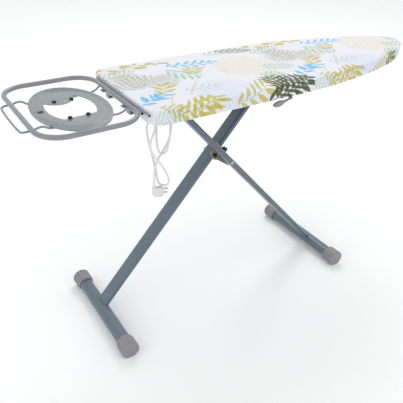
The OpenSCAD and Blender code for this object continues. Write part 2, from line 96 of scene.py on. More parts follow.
def linear(code):
    """An sRGB hex colour, such as #EEEEF5, as linear red, green and blue."""
    parts = [int(code[i:i + 2], 16) / 255 for i in (1, 3, 5)]
    return [c / 12.92 if c <= 0.04045 else ((c + 0.055) / 1.055) ** 2.4 for c in parts]


def per_metre(size_mm):
    """The texture scale whose pattern repeats about every size_mm millimetres."""
    return 1000 / size_mm


# ---- What a user may change ----

class BoardSizes(bpy.types.PropertyGroup):
    """Sizes of the pieces that Blender makes."""

    cover_t: FloatProperty(
        name="Cover thickness", description="Thickness of the printed cotton",
        default=1.0 * MM, unit="LENGTH")
    cover_round: FloatProperty(
        name="Edge radius", description="Radius of the cover's top edge over the pad",
        default=7.0 * MM, unit="LENGTH")
    hem_w: FloatProperty(
        name="Hem width", description="How far the hem is drawn in under the board",
        default=14.0 * MM, unit="LENGTH")
    gather_pitch: FloatProperty(
        name="Gather pitch", description="Distance from one small gather to the next",
        default=17.0 * MM, unit="LENGTH")
    gather_depth: FloatProperty(
        name="Gather depth", description="Depth of the gathers at the hem, round the nose",
        default=0.7 * MM, unit="LENGTH")
    print_repeat: FloatProperty(
        name="Print repeat", description="Length of one repeat of the print along the board",
        default=0.58, unit="LENGTH")
    lead_d: FloatProperty(
        name="Lead diameter", description="Diameter of the mains lead",
        default=6.5 * MM, unit="LENGTH")


def colour(name, description, code):
    return FloatVectorProperty(
        name=name, description=description, default=linear(code), size=3,
        min=0, max=1, subtype="COLOR")


class BoardColours(bpy.types.PropertyGroup):
    """Colours of the board's finishes."""

    leg_paint: colour("Leg paint", "Powder coat on the legs and foot bars", "#5C6B78")
    rest_paint: colour("Rest paint", "Powder coat on the iron rest's tube and wire", "#868890")
    plate_paint: colour("Plate paint", "Enamel on the oval iron plate", "#8C8D92")
    cap_plastic: colour("Cap plastic", "Moulded foot caps and lever grip", "#8A888A")
    white_plastic: colour("White plastic", "Lead, plug and socket", "#DCDCE1")
    cloth: colour("Cloth", "Ground of the printed cotton", "#E2E2EA")
    leaf_yellow: colour("Leaf yellow", "Printed leaves", "#BBB02A")
    petal_blue: colour("Petal blue", "Printed petals", "#50B4DC")
    leaf_green: colour("Leaf green", "Printed pale sprays", "#8DBA98")
    twig_olive: colour("Twig olive", "Printed twigs", "#95956A")
    fern_dark: colour("Fern dark", "Printed dark fern", "#3C4B14")
    bloom_yellow: colour("Bloom yellow", "Printed pale bloom", "#D9D17E")
    bloom_blue: colour("Bloom blue", "Printed pale blue bloom", "#A6D0EA")


def sizes():
    return bpy.context.scene.board_sizes


def colours():
    return bpy.context.scene.board_colours


# ---- Materials ----

def feed(tree, value, socket):
    """Links a socket to another node's output, or sets its value."""
    if isinstance(value, bpy.types.NodeSocket):
        tree.links.new(value, socket)
    else:
        socket.default_value = value


def add(tree, kind, inputs=(), **settings):
    """Adds a node. Settings are its fields; inputs pair a socket with a value or another node's output."""
    node = tree.nodes.new(kind)
    for field, value in settings.items():
        setattr(node, field, value)
    for socket, value in dict(inputs).items():
        feed(tree, value, node.inputs[socket])
    return node


def colour_mix(tree, factor, first, second):
    """The output of one Mix node between two colours."""
    mix = tree.nodes.new("ShaderNodeMix")
    mix.data_type = "RGBA"
    socket_of = {socket.identifier: socket for socket in mix.inputs}
    feed(tree, factor, socket_of["Factor_Float"])
    feed(tree, first, socket_of["A_Color"])
    feed(tree, second, socket_of["B_Color"])
    return next(socket for socket in mix.outputs if socket.identifier == "Result_Color")


def surface(name, base, roughness, metallic=0.0, **more):
    """A new material with one Principled shader, its uniform values set on the shader's sockets."""
    made = bpy.data.materials.new(name)
    made.use_nodes = True
    tree = made.node_tree
    shader = tree.nodes["Principled BSDF"]
    shader.inputs["Base Color"].default_value = (*base, 1)
    shader.inputs["Roughness"].default_value = roughness
    shader.inputs["Metallic"].default_value = metallic
    for socket, value in more.items():
        shader.inputs[socket.replace("_", " ")].default_value = value
    made.diffuse_color = (*base, 1)
    return made, tree, shader


def weather(tree, shader, base, size_mm, spread, grain_mm, height_mm, stretch=(1, 1, 1), gloss=0.06):
    """Slow change of tone and gloss over size_mm, and a relief of grain_mm cells height_mm high.

    Gives back the piece's own coordinates, for a pattern laid on top."""
    place = add(tree, "ShaderNodeTexCoord").outputs["Object"]
    slow = add(tree, "ShaderNodeTexNoise", {"Vector": place, "Scale": per_metre(size_mm), "Detail": 4})
    dark = [c * (1 - spread) for c in base]
    light = [min(1, c * (1 + spread)) for c in base]
    tone = colour_mix(tree, slow.outputs["Fac"], (*dark, 1), (*light, 1))
    tree.links.new(tone, shader.inputs["Base Color"])
    rough = shader.inputs["Roughness"].default_value
    shine = add(tree, "ShaderNodeMapRange", {
        "Value": slow.outputs["Fac"], "From Min": 0.3, "From Max": 0.7,
        "To Min": rough - gloss, "To Max": rough + gloss})
    tree.links.new(shine.outputs["Result"], shader.inputs["Roughness"])
    drawn = add(tree, "ShaderNodeMapping", {"Vector": place, "Scale": stretch})
    grain = add(tree, "ShaderNodeTexNoise", {
        "Vector": drawn.outputs["Vector"], "Scale": per_metre(grain_mm), "Detail": 3})
    relief = add(tree, "ShaderNodeBump", {
        "Height": grain.outputs["Fac"], "Strength": 0.6, "Distance": height_mm * MM})
    tree.links.new(relief.outputs["Normal"], shader.inputs["Normal"])
    return place


def powder_coat(name, base, roughness=0.36):
    """Baked polyester powder: a satin film with faint orange peel 1.8 mm across."""
    made, tree, shader = surface(name, base, roughness, 0.12, Coat_Weight=0.25, Coat_Roughness=0.2)
    weather(tree, shader, base, 90, 0.05, 1.8, 0.03)
    return made


def stoved_enamel(name, base):
    """Grey enamel stoved on pressed sheet: a little glossier than powder, with a finer skin."""
    made, tree, shader = surface(name, base, 0.3, 0.2, Coat_Weight=0.3, Coat_Roughness=0.15)
    weather(tree, shader, base, 45, 0.06, 1.2, 0.02)
    return made


def galvanised_steel(name):
    """Hot-dip zinc: grey spangles about 7 mm across, each with its own gloss."""
    base = linear("#9A9C9E")
    made, tree, shader = surface(name, base, 0.45, 1.0)
    place = weather(tree, shader, base, 60, 0.06, 2.5, 0.02)
    spangle = add(tree, "ShaderNodeTexVoronoi", {"Vector": place, "Scale": per_metre(7)})
    gloss = add(tree, "ShaderNodeMapRange", {
        "Value": spangle.outputs["Color"], "To Min": 0.34, "To Max": 0.58})
    tree.links.new(gloss.outputs["Result"], shader.inputs["Roughness"])
    return made


def plated_steel(name, code, roughness, stretch):
    """Bright metal, pressed or turned: a 6 mm mottle, which stretch draws out into tool lines."""
    base = linear(code)
    made, tree, shader = surface(name, base, roughness, 1.0)
    weather(tree, shader, base, 18, 0.1, 6, 0.02, stretch=stretch)
    return made


def moulded_plastic(name, base, roughness, grain_mm=0.9, height_mm=0.03, **more):
    """Injection-moulded plastic: an even colour with the spark-eroded grain of its mould."""
    made, tree, shader = surface(name, base, roughness, **more)
    weather(tree, shader, base, 35, 0.03, grain_mm, height_mm, gloss=0.04)
    return made


def needle_felt(name):
    """Needled polyester felt: short crossed fibres, drawn 1.5 mm long, with a dull sheen."""
    base = linear("#E6E2D6")
    made, tree, shader = surface(name, base, 0.95, Sheen_Weight=0.4, Sheen_Roughness=0.6)
    weather(tree, shader, base, 12, 0.06, 1.5, 0.5, stretch=(1, 2.6, 1), gloss=0.02)
    return made


def braided_cord(name):
    """Braided polyester cord: one slanting row of plaits about 4.4 mm apart, coarser than the real 2 mm."""
    base = linear("#F0EFEA")
    made, tree, shader = surface(name, base, 0.8, Sheen_Weight=0.2)
    place = weather(tree, shader, base, 10, 0.05, 0.8, 0.1)
    plait = add(tree, "ShaderNodeTexWave", {"Vector": place, "Scale": per_metre(12), "Distortion": 0.5},
                bands_direction="DIAGONAL")
    relief = add(tree, "ShaderNodeBump", {
        "Height": plait.outputs["Fac"], "Strength": 0.6, "Distance": 0.3 * MM})
    tree.links.new(relief.outputs["Normal"], shader.inputs["Normal"])
    return made


# ---- The print: leaves, sprays and blooms drawn by node groups ----

def group(name, inputs, output):
    """A new node group with float or vector inputs and one output, and its two end nodes."""
    tree = bpy.data.node_groups.new(name, "ShaderNodeTree")
    for socket, value in inputs.items():
        kind = "NodeSocketVector" if value is None else "NodeSocketFloat"
        made = tree.interface.new_socket(socket, in_out="INPUT", socket_type=kind)
        if value is not None:
            made.default_value = value
    tree.interface.new_socket(output[0], in_out="OUTPUT", socket_type=output[1])
    return tree, tree.nodes.new("NodeGroupInput").outputs, tree.nodes.new("NodeGroupOutput").inputs


def sums(tree, operation, first, second=None, third=None):
    """The output of one Math node."""
    node = tree.nodes.new("ShaderNodeMath")
    node.operation = operation
    for socket, value in zip(node.inputs, (first, second, third)):
        if value is not None:
            feed(tree, value, socket)
    return node.outputs[0]


def place_group(repeat):
    """Puts a motif on the cloth: its root at Root X and Root Y, turned, one unit long."""
    tree, given, result = group("motif place", {
        "Cloth": None, "Root X": 0.0, "Root Y": 0.0, "Turn": 0.0, "Size": 1.0},
        ("Local", "NodeSocketVector"))
    parts = add(tree, "ShaderNodeSeparateXYZ", {"Vector": given["Cloth"]})
    across = sums(tree, "SUBTRACT", parts.outputs["X"], given["Root X"])
    wrapped = sums(tree, "WRAP", across, repeat * 0.62, -repeat * 0.38)
    beyond = sums(tree, "GREATER_THAN", parts.outputs["X"], 0.25)
    jump = sums(tree, "SUBTRACT", wrapped, across)
    near = sums(tree, "MULTIPLY_ADD", jump, beyond, across)
    up = sums(tree, "SUBTRACT", parts.outputs["Y"], given["Root Y"])
    local = add(tree, "ShaderNodeCombineXYZ", {"X": near, "Y": up})
    back = sums(tree, "MULTIPLY", given["Turn"], -1.0)
    turned = add(tree, "ShaderNodeVectorRotate", {
        "Vector": local.outputs["Vector"], "Angle": back}, rotation_type="Z_AXIS")
    shrink = sums(tree, "DIVIDE", 1.0, given["Size"])
    sized = add(tree, "ShaderNodeVectorMath", {
        "Vector": turned.outputs["Vector"], "Scale": shrink}, operation="SCALE")
    tree.links.new(sized.outputs["Vector"], result["Local"])
    return tree


def spray_group():
    """Pointed leaflets in alternate pairs along a bent stem that runs from 0 to 1 along x."""
    tree, given, result = group("leaf spray", {
        "Local": None, "Pairs": 6.0, "Leaf": 0.4, "Reach": 0.4, "Bend": 0.2, "Stem": 0.012},
        ("Mask", "NodeSocketFloat"))
    wobble = add(tree, "ShaderNodeTexNoise", {"Vector": given["Local"], "Scale": 3.0, "Detail": 1})
    parts = add(tree, "ShaderNodeSeparateXYZ", {"Vector": given["Local"]})
    x = parts.outputs["X"]
    bow = sums(tree, "MULTIPLY", sums(tree, "MULTIPLY", x, x), given["Bend"])
    lifted = sums(tree, "SUBTRACT", parts.outputs["Y"], bow)
    shaken = sums(tree, "MULTIPLY_ADD", wobble.outputs["Fac"], 0.05, -0.025)
    y = sums(tree, "ADD", lifted, shaken)
    side = sums(tree, "ABSOLUTE", y)
    upper = sums(tree, "MULTIPLY", sums(tree, "GREATER_THAN", y, 0.0), 0.5)
    slant = sums(tree, "MULTIPLY_ADD", side, -0.75, x)
    along = sums(tree, "MULTIPLY_ADD", slant, given["Pairs"], upper)
    cell = sums(tree, "FLOOR", along)
    offset = sums(tree, "ABSOLUTE", sums(tree, "SUBTRACT", sums(tree, "FRACT", along), 0.5))
    middle = sums(tree, "DIVIDE", sums(tree, "ADD", cell, 0.5), given["Pairs"])
    swell = sums(tree, "SINE", sums(tree, "MULTIPLY_ADD", middle, 2.5, 0.45))
    grown = sums(tree, "MAXIMUM", sums(tree, "MULTIPLY", swell, given["Reach"]), 0.001)
    share = sums(tree, "DIVIDE", side, grown)
    belly = sums(tree, "SINE", sums(tree, "MULTIPLY", sums(tree, "POWER", share, 0.8), math.pi))
    width = sums(tree, "MULTIPLY", belly, given["Leaf"])
    inside = sums(tree, "LESS_THAN", offset, width)
    short = sums(tree, "LESS_THAN", share, 1.0)
    started = sums(tree, "GREATER_THAN", middle, 0.02)
    ended = sums(tree, "LESS_THAN", middle, 1.0)
    kept = sums(tree, "MULTIPLY", started, ended)
    leaf = sums(tree, "MULTIPLY", sums(tree, "MULTIPLY", inside, short), kept)
    line = sums(tree, "LESS_THAN", side, given["Stem"])
    on_stem = sums(tree, "MULTIPLY", line, sums(tree, "MULTIPLY", sums(tree, "GREATER_THAN", x, 0.0),
                                                  sums(tree, "LESS_THAN", x, 0.95)))
    tree.links.new(sums(tree, "MAXIMUM", leaf, on_stem), result["Mask"])
    return tree


def bloom_group():
    """A round head of small petals in rings, ragged at its edge, one unit in radius."""
    tree, given, result = group("bloom", {
        "Local": None, "Rings": 7.0, "Fill": 0.3}, ("Mask", "NodeSocketFloat"))
    stir = add(tree, "ShaderNodeTexNoise", {"Vector": given["Local"], "Scale": 2.6, "Detail": 2})
    moved = add(tree, "ShaderNodeVectorMath", {
        0: stir.outputs["Color"], 1: (0.42, 0.42, 0), 2: given["Local"]}, operation="MULTIPLY_ADD")
    parts = add(tree, "ShaderNodeSeparateXYZ", {"Vector": moved.outputs["Vector"]})
    x = sums(tree, "SUBTRACT", parts.outputs["X"], 0.21)
    y = sums(tree, "SUBTRACT", parts.outputs["Y"], 0.21)
    out = sums(tree, "SQRT", sums(tree, "ADD", sums(tree, "MULTIPLY", x, x), sums(tree, "MULTIPLY", y, y)))
    ring = sums(tree, "MULTIPLY", out, given["Rings"])
    number = sums(tree, "FLOOR", ring)
    depth = sums(tree, "SINE", sums(tree, "MULTIPLY", sums(tree, "FRACT", ring), math.pi))
    count = sums(tree, "MULTIPLY_ADD", number, 6.0, 5.0)
    angle = sums(tree, "DIVIDE", sums(tree, "ARCTAN2", y, x), 2 * math.pi)
    swept = sums(tree, "MULTIPLY", angle, count)
    petal = sums(tree, "FRACT", sums(tree, "MULTIPLY_ADD", number, 0.37, swept))
    offset = sums(tree, "ABSOLUTE", sums(tree, "SUBTRACT", petal, 0.5))
    inside = sums(tree, "LESS_THAN", offset, sums(tree, "MULTIPLY", depth, given["Fill"]))
    tree.links.new(sums(tree, "MULTIPLY", inside, sums(tree, "LESS_THAN", out, 0.96)), result["Mask"])
    return tree


# Radius of a spray's stem
STEM_R = 1.2 * MM
# Motifs of one repeat, in metres from the square end and from the board's middle line. Their
# places were chosen one by one, and each ink's leaflet widths and strengths evened out together.
# A spray has its root, turn in degrees, length, pairs of leaflets, leaflet width and reach,
# bend and strength; a bloom has its centre, radius, rings and strength.
SPRAYS = (
    ("leaf_yellow", 0.00, 0.170, -5, 0.27, 3, 0.19, 0.11, 0.06, 0.80),
    ("leaf_yellow", 0.09, 0.186, -10, 0.17, 4, 0.20, 0.13, -0.05, 0.80),
    ("leaf_yellow", -0.01, 0.140, 2, 0.18, 2, 0.17, 0.10, 0.05, 0.72),
    ("leaf_green", -0.02, 0.108, 4, 0.13, 7, 0.31, 0.28, 0.10, 0.68),
    ("twig_olive", 0.00, -0.020, 48, 0.16, 9, 0.19, 0.46, -0.40, 0.59),
    ("twig_olive", 0.06, -0.020, 74, 0.12, 8, 0.20, 0.52, 0.35, 0.56),
    ("twig_olive", 0.12, -0.035, 30, 0.11, 8, 0.19, 0.48, 0.30, 0.53),
    ("petal_blue", -0.01, -0.150, 40, 0.13, 3, 0.26, 0.32, -0.30, 0.85),
    ("petal_blue", 0.03, -0.125, 22, 0.07, 3, 0.32, 0.42, 0.30, 0.85),
    ("leaf_yellow", 0.10, -0.095, 62, 0.09, 3, 0.36, 0.52, 0.10, 0.80),
    ("leaf_yellow", 0.075, -0.185, 75, 0.10, 1, 0.02, 0.03, -0.35, 0.72),
    ("leaf_yellow", 0.035, -0.185, -22, 0.09, 5, 0.31, 0.44, -0.20, 0.80),
    ("leaf_yellow", 0.075, -0.225, 4, 0.15, 6, 0.30, 0.42, 0.15, 0.80),
    ("leaf_yellow", 0.130, -0.245, 42, 0.12, 4, 0.34, 0.47, -0.10, 0.80),
    ("leaf_green", 0.195, 0.080, -62, 0.12, 5, 0.33, 0.44, 0.20, 0.72),
    ("leaf_yellow", 0.262, 0.015, 62, 0.07, 3, 0.37, 0.64, 0.0, 0.80),
    ("twig_olive", 0.165, -0.135, 62, 0.18, 1, 0.02, 0.03, -0.25, 0.56),
    ("twig_olive", 0.165, -0.100, -8, 0.12, 5, 0.10, 0.34, 0.10, 0.50),
    ("petal_blue", 0.225, 0.118, -10, 0.18, 6, 0.27, 0.20, 0.03, 0.85),
    ("twig_olive", 0.40, 0.165, 4, 0.18, 8, 0.24, 0.20, -0.12, 0.50),
    ("fern_dark", 0.455, 0.178, -14, 0.13, 6, 0.31, 0.26, 0.0, 0.66),
    ("leaf_yellow", 0.275, -0.232, 6, 0.20, 7, 0.30, 0.33, 0.46, 0.80),
    ("fern_dark", 0.395, -0.246, 8, 0.19, 7, 0.36, 0.34, 0.22, 0.95),
    ("fern_dark", 0.420, -0.236, 38, 0.16, 8, 0.34, 0.42, -0.12, 0.95),
    ("fern_dark", 0.430, -0.215, 66, 0.11, 5, 0.34, 0.46, 0.10, 0.95),
    ("leaf_green", 0.50, -0.028, -30, 0.11, 6, 0.30, 0.38, 0.20, 0.65),
    ("leaf_green", 0.445, -0.095, -12, 0.08, 5, 0.33, 0.36, 0.0, 0.72),
    ("leaf_green", -0.01, -0.222, -6, 0.10, 7, 0.27, 0.38, 0.10, 0.50),
)
BLOOMS = (
    ("bloom_yellow", 0.455, 0.005, 0.105, 8, 0.62),
    ("bloom_blue", 0.275, -0.155, 0.095, 9, 0.55),
    ("twig_olive", 0.060, 0.040, 0.075, 9, 0.5),
    ("twig_olive", 0.155, 0.005, 0.045, 6, 0.4),
)


def printed_cotton(name):
    """Plain-weave cotton with a screen print. Its threads, about 0.4 mm apart, are too fine to show, so
    they are drawn as a low relief that repeats every 6.9 mm."""
    ground = tuple(colours().cloth)
    made, tree, shader = surface(name, ground, 0.85, Sheen_Weight=0.15, Sheen_Roughness=0.5)
    cloth = add(tree, "ShaderNodeAttribute", attribute_name="cloth").outputs["Vector"]
    place, spray, bloom = place_group(sizes().print_repeat), spray_group(), bloom_group()
    ink = add(tree, "ShaderNodeTexNoise", {"Vector": cloth, "Scale": per_metre(14), "Detail": 3})
    patchy = add(tree, "ShaderNodeMapRange", {
        "Value": ink.outputs["Fac"], "From Min": 0.3, "From Max": 0.55, "To Min": 0.85, "To Max": 1.0})
    tone = add(tree, "ShaderNodeRGB").outputs["Color"]
    tone.default_value = (*ground, 1)

    def motif(kind, x, y, turn, size, **values):
        """The mask of one spray or bloom, put in its place on the cloth."""
        where = add(tree, "ShaderNodeGroup", {
            "Cloth": cloth, "Root X": x, "Root Y": y, "Turn": math.radians(turn), "Size": size},
            node_tree=place)
        return add(tree, "ShaderNodeGroup", {"Local": where.outputs["Local"], **values},
                   node_tree=kind).outputs["Mask"]

    def pressed(tone, mask, strength, ink_name):
        """The cloth's colour once one motif has been printed over it."""
        amount = sums(tree, "MULTIPLY", sums(tree, "MULTIPLY", mask, patchy.outputs["Result"]), strength)
        return colour_mix(tree, amount, tone, (*getattr(colours(), ink_name), 1))

    for ink_name, x, y, radius, rings, strength in BLOOMS:
        tone = pressed(tone, motif(bloom, x, y, 0, radius, Rings=rings), strength, ink_name)
    for ink_name, x, y, turn, size, pairs, leaf, reach, bend, strength in SPRAYS:
        mask = motif(spray, x, y, turn, size, Pairs=pairs, Leaf=leaf, Reach=reach, Bend=bend,
                     Stem=STEM_R / size)
        tone = pressed(tone, mask, strength, ink_name)
    tree.links.new(tone, shader.inputs["Base Color"])
    weave = per_metre(22)  # a wave's bands repeat every 2 pi / 20 of this, which is 6.9 mm
    warp = add(tree, "ShaderNodeTexWave", {"Vector": cloth, "Scale": weave, "Distortion": 0.4},
               bands_direction="X")
    weft = add(tree, "ShaderNodeTexWave", {"Vector": cloth, "Scale": weave, "Distortion": 0.4},
               bands_direction="Y")
    threads = sums(tree, "ADD", warp.outputs["Fac"], weft.outputs["Fac"])
    relief = add(tree, "ShaderNodeBump", {"Height": threads, "Strength": 0.35, "Distance": 0.12 * MM})
    tree.links.new(relief.outputs["Normal"], shader.inputs["Normal"])
    return made


def build_finishes():
    """One material for each of the record's slots."""
    c = colours()
    return {
        "blue_grey_paint": powder_coat("powder-coated steel, blue grey", tuple(c.leg_paint)),
        "silver_paint": powder_coat("powder-coated steel, silver grey", tuple(c.rest_paint), 0.3),
        "plate_paint": stoved_enamel("stoved enamel, grey", tuple(c.plate_paint)),
        "deck_steel": powder_coat("powder-coated steel, deck", linear("#8C9094"), 0.5),
        "galvanised": galvanised_steel("hot-dip galvanised steel"),
        "zinc_plate": plated_steel("passivated zinc plate, pressed", "#7E7D70", 0.42, (1, 1, 1)),
        "bright_steel": plated_steel("zinc-plated steel, turned", "#B8BABC", 0.3, (1, 12, 1)),
        "black_steel": plated_steel("phosphated steel, black", "#3A3A3D", 0.5, (1, 1, 1)),
        "grey_plastic": moulded_plastic("moulded polypropylene, grey", tuple(c.cap_plastic), 0.52),
        "bumper_plastic": moulded_plastic("moulded polyethylene, black", linear("#232326"), 0.45),
        "black_rubber": moulded_plastic("moulded rubber, black", linear("#1E1E20"), 0.75, 0.6, 0.05),
        "nylon": moulded_plastic("moulded nylon, natural", linear("#E4E2DA"), 0.4),
        "white_plastic": moulded_plastic("moulded vinyl, white", tuple(c.white_plastic), 0.32, 1.2, 0.015,
                                         Coat_Weight=0.15),
        "felt": needle_felt("needled felt"),
        "cotton": printed_cotton("printed cotton, plain weave"),
        "brass": plated_steel("stamped brass", "#B9A77A", 0.3, (8, 1, 1)),
        "braid": braided_cord("braided polyester cord"),
    }


FINISHES = {}


# ---- Shared shaping ----

def select_only(*pieces):
    """Selects these pieces and nothing else, in object mode."""
    if bpy.context.object and bpy.context.object.mode != "OBJECT":
        bpy.ops.object.mode_set(mode="OBJECT")
    bpy.ops.object.select_all(action="DESELECT")
    for piece in pieces:
        piece.select_set(True)
    bpy.context.view_layer.objects.active = pieces[0] if pieces else None


def apply_all(piece):
    """Applies the piece's modifiers and its place, so that its object sits at the origin."""
    select_only(piece)
    for modifier in list(piece.modifiers):
        bpy.ops.object.modifier_apply(modifier=modifier.name)
    bpy.ops.object.transform_apply(location=True, rotation=True, scale=True)


def soften(piece, width, segments=2, angle=32):
    """Rounds the piece's sharp edges."""
    bevel = piece.modifiers.new("soft edges", "BEVEL")
    bevel.width = width
    bevel.segments = segments
    bevel.limit_method = "ANGLE"
    bevel.angle_limit = math.radians(angle)
    return piece


def done(piece, name, body, slot, stands_for=(), smooth=35):
    """Names, shades, colours and mounts a finished piece."""
    apply_all(piece)
    piece.name = name
    piece.data.name = name
    bpy.ops.object.shade_smooth_by_angle(angle=math.radians(smooth))
    piece.data.materials.clear()
    piece.data.materials.append(FINISHES[slot])
    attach(piece, body)
    if stands_for:
        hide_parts(*stands_for)
    return piece


def refined(node, name, width, segments=2):
    """A copy of a CAD node with its doubles merged and its sharp edges rounded, which stands for it."""
    piece = bpy.data.objects.new(name, NODES[node].data.copy())
    bpy.context.collection.objects.link(piece)
    select_only(piece)
    if piece.data.has_custom_normals:
        bpy.ops.mesh.customdata_custom_splitnormals_clear()
    bpy.ops.object.mode_set(mode="EDIT")
    bpy.ops.mesh.select_all(action="SELECT")
    bpy.ops.mesh.remove_doubles(threshold=0.00001)
    bpy.ops.mesh.dissolve_limited(angle_limit=math.radians(0.4))
    bpy.ops.object.mode_set(mode="OBJECT")
    soften(piece, width, segments)
    return done(piece, name, NODES[node]["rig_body"], SLOT_OF[node], (node,))


def turned(name, start, axis, stations, sides=32, capped=True):
    """A turned piece: a circle drawn along axis through stations, each a distance and a radius."""
    axis = Vector(axis).normalized()
    facing = axis.to_track_quat("Z", "Y").to_euler()
    at, radius = stations[0]
    centre = Vector(start) + axis * at
    select_only()
    bpy.ops.mesh.primitive_circle_add(
        vertices=sides, radius=radius, location=centre, rotation=facing,
        fill_type="NGON" if capped else "NOTHING")
    piece = bpy.context.object
    bpy.ops.object.transform_apply(location=True, rotation=True, scale=True)
    bpy.ops.object.mode_set(mode="EDIT")
    bpy.ops.mesh.select_all(action="SELECT")
    for next_at, next_radius in stations[1:]:
        bpy.ops.mesh.extrude_region_move(
            TRANSFORM_OT_translate={"value": axis * (next_at - at)})
        centre = Vector(start) + axis * next_at
        ratio = next_radius / radius
        bpy.ops.transform.resize(value=(ratio, ratio, ratio), center_override=centre)
        at, radius = next_at, next_radius
    bpy.ops.mesh.select_all(action="SELECT")
    bpy.ops.mesh.normals_make_consistent(inside=False)
    bpy.ops.object.mode_set(mode="OBJECT")
    piece.name = name
    return piece


def drawn_curve(name, points, radius, closed=False, sides=5, steps=6):
    """A round wire or cord along given points, as a curve that passes through each of them."""
    data = bpy.data.curves.new(name, "CURVE")
    data.dimensions = "3D"
    data.bevel_depth = radius
    data.bevel_resolution = sides
    data.resolution_u = steps
    data.use_fill_caps = not closed
    spline = data.splines.new("BEZIER")
    spline.bezier_points.add(len(points) - 1)
    for knot, point in zip(spline.bezier_points, points):
        knot.co = point
        knot.handle_left_type = "AUTO"
        knot.handle_right_type = "AUTO"
    spline.use_cyclic_u = closed
    curve = bpy.data.objects.new(name, data)
    bpy.context.collection.objects.link(curve)
    bpy.context.view_layer.update()
    return curve


def as_mesh(curve):
    """The curve's skin as a mesh piece."""
    select_only(curve)
    bpy.ops.object.convert(target="MESH")
    piece = bpy.context.object
    bpy.ops.object.mode_set(mode="EDIT")
    bpy.ops.mesh.select_all(action="SELECT")
    bpy.ops.mesh.remove_doubles(threshold=0.00001)
    bpy.ops.object.mode_set(mode="OBJECT")
    return piece


def on_board(x_mm, y_mm, z_mm):
    """A place given in millimetres from the board's square end, its middle line and the floor."""
    return Vector((END_X + x_mm * MM, y_mm * MM, z_mm * MM))


def weld_bead(name, centre, size, seed):
    """A lump of weld metal: a small ball, flattened and dimpled."""
    select_only()
    bpy.ops.mesh.primitive_ico_sphere_add(subdivisions=3, radius=size, location=centre)
    piece = bpy.context.object
    bpy.ops.object.mode_set(mode="EDIT")
    bpy.ops.mesh.select_all(action="SELECT")
    bpy.ops.transform.resize(value=(1.25, 0.9, 0.7), center_override=centre)
    bpy.ops.object.mode_set(mode="OBJECT")
    for vertex in piece.data.vertices:
        lump = noise(Vector(vertex.co) / (size * 0.8) + Vector((seed, 0, 0)))
        vertex.co *= 1 + 0.12 * lump
    piece.name = name
    return piece


# ---- The cover, the pad and what else follows the board's outline ----

# The middle line that the top's rows of faces grow out from
SPINE_FROM, SPINE_TO = 0.15, BOARD_L - 0.22


def half_outline():
    """One side of the board's edge from the middle of the square end to the nose, in steps of 4 mm."""
    corner = [(CORNER_R * (1 - math.cos(a)), HALF_W - CORNER_R * (1 - math.sin(a)))
              for a in np.linspace(0, math.pi / 2, 40)]
    nose = []
    for a in np.linspace(0, math.pi / 2, 300):
        x = TAPER_START + (BOARD_L - TAPER_START) * math.sin(a)
        along = (x - TAPER_START) / (BOARD_L - TAPER_START)
        nose.append((x, HALF_W * max(0.0, 1 - along ** 1.7) ** (1 / 1.86)))
    path = np.array([(0.0, 0.0), *corner, *nose])
    run = np.concatenate([[0], np.cumsum(np.linalg.norm(np.diff(path, axis=0), axis=1))])
    even = np.linspace(0, run[-1], int(run[-1] / (4 * MM)))
    return np.stack([np.interp(even, run, path[:, 0]), np.interp(even, run, path[:, 1])], 1)


def outline():
    """The whole edge, turning left round the board seen from above, and its outward directions."""
    side = half_outline()
    near = side * (1, -1)
    loop = np.concatenate([near, side[-2:0:-1]])
    ahead = np.roll(loop, -1, axis=0) - np.roll(loop, 1, axis=0)
    ahead /= np.linalg.norm(ahead, axis=1)[:, None]
    out = np.stack([ahead[:, 1], -ahead[:, 0]], 1)
    out[0], out[len(side) - 1] = (-1, 0), (1, 0)
    return loop, out


def board_form(name, profile, rows, ripple=None, closed=False):
    """A form that covers the board's outline: flat rows on top, then profile's rings of inset and height.

    Each point keeps its place on the flat cloth, in metres, in the attribute cloth."""
    loop, out = outline()
    count = len(loop)
    points, cloth = [], []
    first_inset, top = profile[0]
    rim = loop - out * first_inset
    spine = np.stack([rim[:, 0].clip(SPINE_FROM, SPINE_TO), np.zeros(count)], 1)
    for row in range(rows):
        ring = spine + (rim - spine) * (row / rows)
        points.append(np.column_stack([ring, np.full(count, top)]))
        cloth.append(ring)
    run, last = 0.0, profile[0]
    for inset, height in profile:
        run += math.dist((inset, height), last)
        last = (inset, height)
        ring = loop - out * inset
        if ripple is not None:
            ring = ring + out * ripple(run)[:, None]
        points.append(np.column_stack([ring, np.full(count, height)]))
        cloth.append(rim + out * run)
    if closed:
        spine_low = np.stack([ring[:, 0].clip(SPINE_FROM, SPINE_TO), np.zeros(count)], 1)
        for share in (0.66, 0.33, 0.0):
            points.append(np.column_stack([spine_low + (ring - spine_low) * share, np.full(count, last[1])]))
            cloth.append(cloth[-1])
    flat = np.concatenate(points)
    flat[:, 0] += END_X
    faces = []
    for row in range(len(points) - 1):
        for k in range(count):
            m = (k + 1) % count
            faces.append((row * count + k, (row + 1) * count + k, (row + 1) * count + m, row * count + m))
    mesh = bpy.data.meshes.new(name)
    mesh.from_pydata(flat.tolist(), [], faces)
    kept = mesh.attributes.new("cloth", "FLOAT_VECTOR", "POINT")
    place = np.zeros((len(flat), 3), np.float32)
    place[:, :2] = np.concatenate(cloth)
    kept.data.foreach_set("vector", place.ravel())
    piece = bpy.data.objects.new(name, mesh)
    bpy.context.collection.objects.link(piece)
    select_only(piece)
    bpy.ops.object.mode_set(mode="EDIT")
    bpy.ops.mesh.select_all(action="SELECT")
    bpy.ops.mesh.remove_doubles(threshold=0.00002)
    bpy.ops.mesh.normals_make_consistent(inside=False)
    bpy.ops.object.mode_set(mode="OBJECT")
    if closed:
        return piece
    bm = bmesh.new()
    bm.from_mesh(mesh)
    if sum(face.normal.z * face.calc_area() for face in bm.faces) < 0:
        bmesh.ops.reverse_faces(bm, faces=bm.faces)
    bm.to_mesh(mesh)
    bm.free()
    return piece


